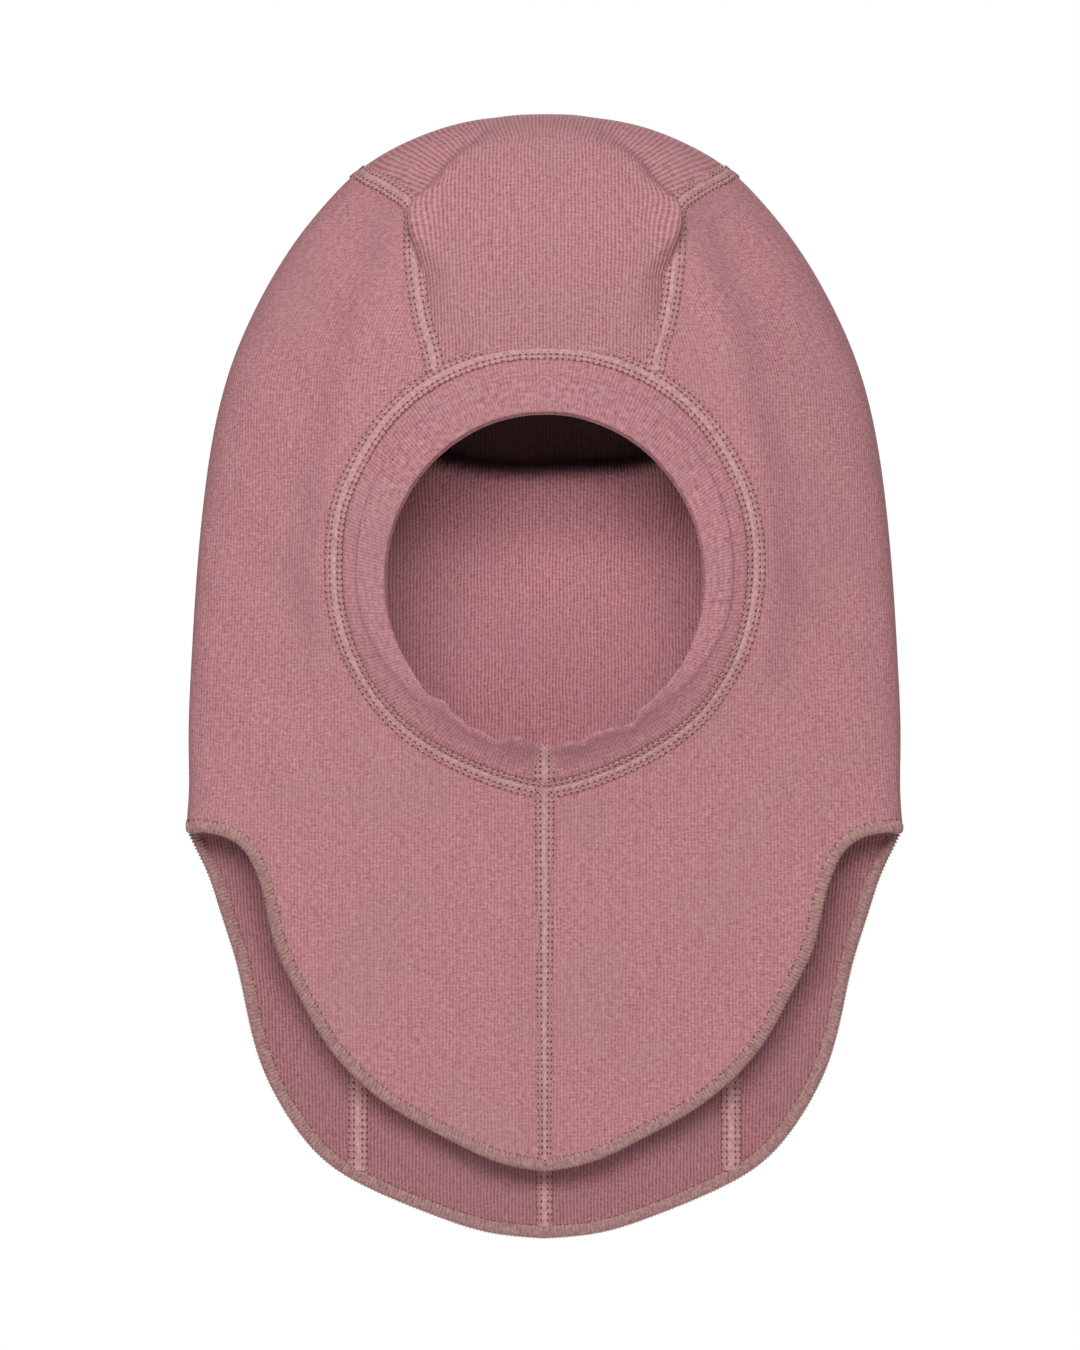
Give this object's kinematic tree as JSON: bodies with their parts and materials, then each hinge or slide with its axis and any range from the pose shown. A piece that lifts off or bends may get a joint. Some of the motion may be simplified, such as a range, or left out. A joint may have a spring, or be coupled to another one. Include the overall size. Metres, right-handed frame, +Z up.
{
  "type": "balaclava",
  "caption": "Child's double-layered rib-knit balaclava hood with a folded face band, flatlock seams and a long front and back bib.",
  "frame": {"origin": "where the crown of the wearer's head bears on the inside of the lining", "axes": "+Z up along the hood, the face looks along -Y, +X is the wearer's left"},
  "size_m": [0.2172, 0.0685, 0.3425],
  "materials": {
    "rib_knit_outer": "dusty rose fine rib knit, matt with a slight fuzz",
    "rib_knit_lining": "the same rib knit, turned inwards",
    "rib_knit_band": "the same rib knit, folded double and a little stretched",
    "seam_thread": "soft textured polyester flatlock thread",
    "hem_thread": "soft textured polyester overlock thread"
  },
  "bodies": {
    "hood": {"crown_panel": "rib_knit_outer", "left_side_panel": "rib_knit_outer", "right_side_panel": "rib_knit_outer", "crown_lining": "rib_knit_lining", "left_side_lining": "rib_knit_lining", "right_side_lining": "rib_knit_lining", "face_band": "rib_knit_band", "face_band_seam": "seam_thread", "front_seam": "seam_thread", "nape_seam": "seam_thread", "left_crown_seam": "seam_thread", "right_crown_seam": "seam_thread", "face_band_seam_underside": "seam_thread", "front_seam_underside": "seam_thread", "nape_seam_underside": "seam_thread", "left_crown_seam_underside": "seam_thread", "right_crown_seam_underside": "seam_thread", "left_notch_hem": "hem_thread", "right_notch_hem": "hem_thread"},
    "front_bib": {"left_front_bib_panel": "rib_knit_outer", "right_front_bib_panel": "rib_knit_outer", "left_front_bib_lining": "rib_knit_lining", "right_front_bib_lining": "rib_knit_lining", "front_bib_seam": "seam_thread", "front_bib_seam_underside": "seam_thread", "front_hem": "hem_thread"},
    "back_bib": {"back_bib_panel": "rib_knit_outer", "left_back_bib_panel": "rib_knit_outer", "right_back_bib_panel": "rib_knit_outer", "back_bib_lining": "rib_knit_lining", "left_back_bib_lining": "rib_knit_lining", "right_back_bib_lining": "rib_knit_lining", "back_bib_seam": "seam_thread", "left_back_bib_seam": "seam_thread", "right_back_bib_seam": "seam_thread", "back_bib_seam_underside": "seam_thread", "left_back_bib_seam_underside": "seam_thread", "right_back_bib_seam_underside": "seam_thread", "back_hem": "hem_thread"}
  },
  "joints": [
    {"name": "front_bib_lift", "type": "hinge", "parent": "hood", "child": "front_bib", "pos_m": [0, -0.0126, -0.24], "axis": [-1, 0, 0], "range_deg": [0, 120]},
    {"name": "back_bib_lift", "type": "hinge", "parent": "hood", "child": "back_bib", "pos_m": [0, 0.012, -0.24], "axis": [1, 0, 0], "range_deg": [0, 120]}
  ]
}
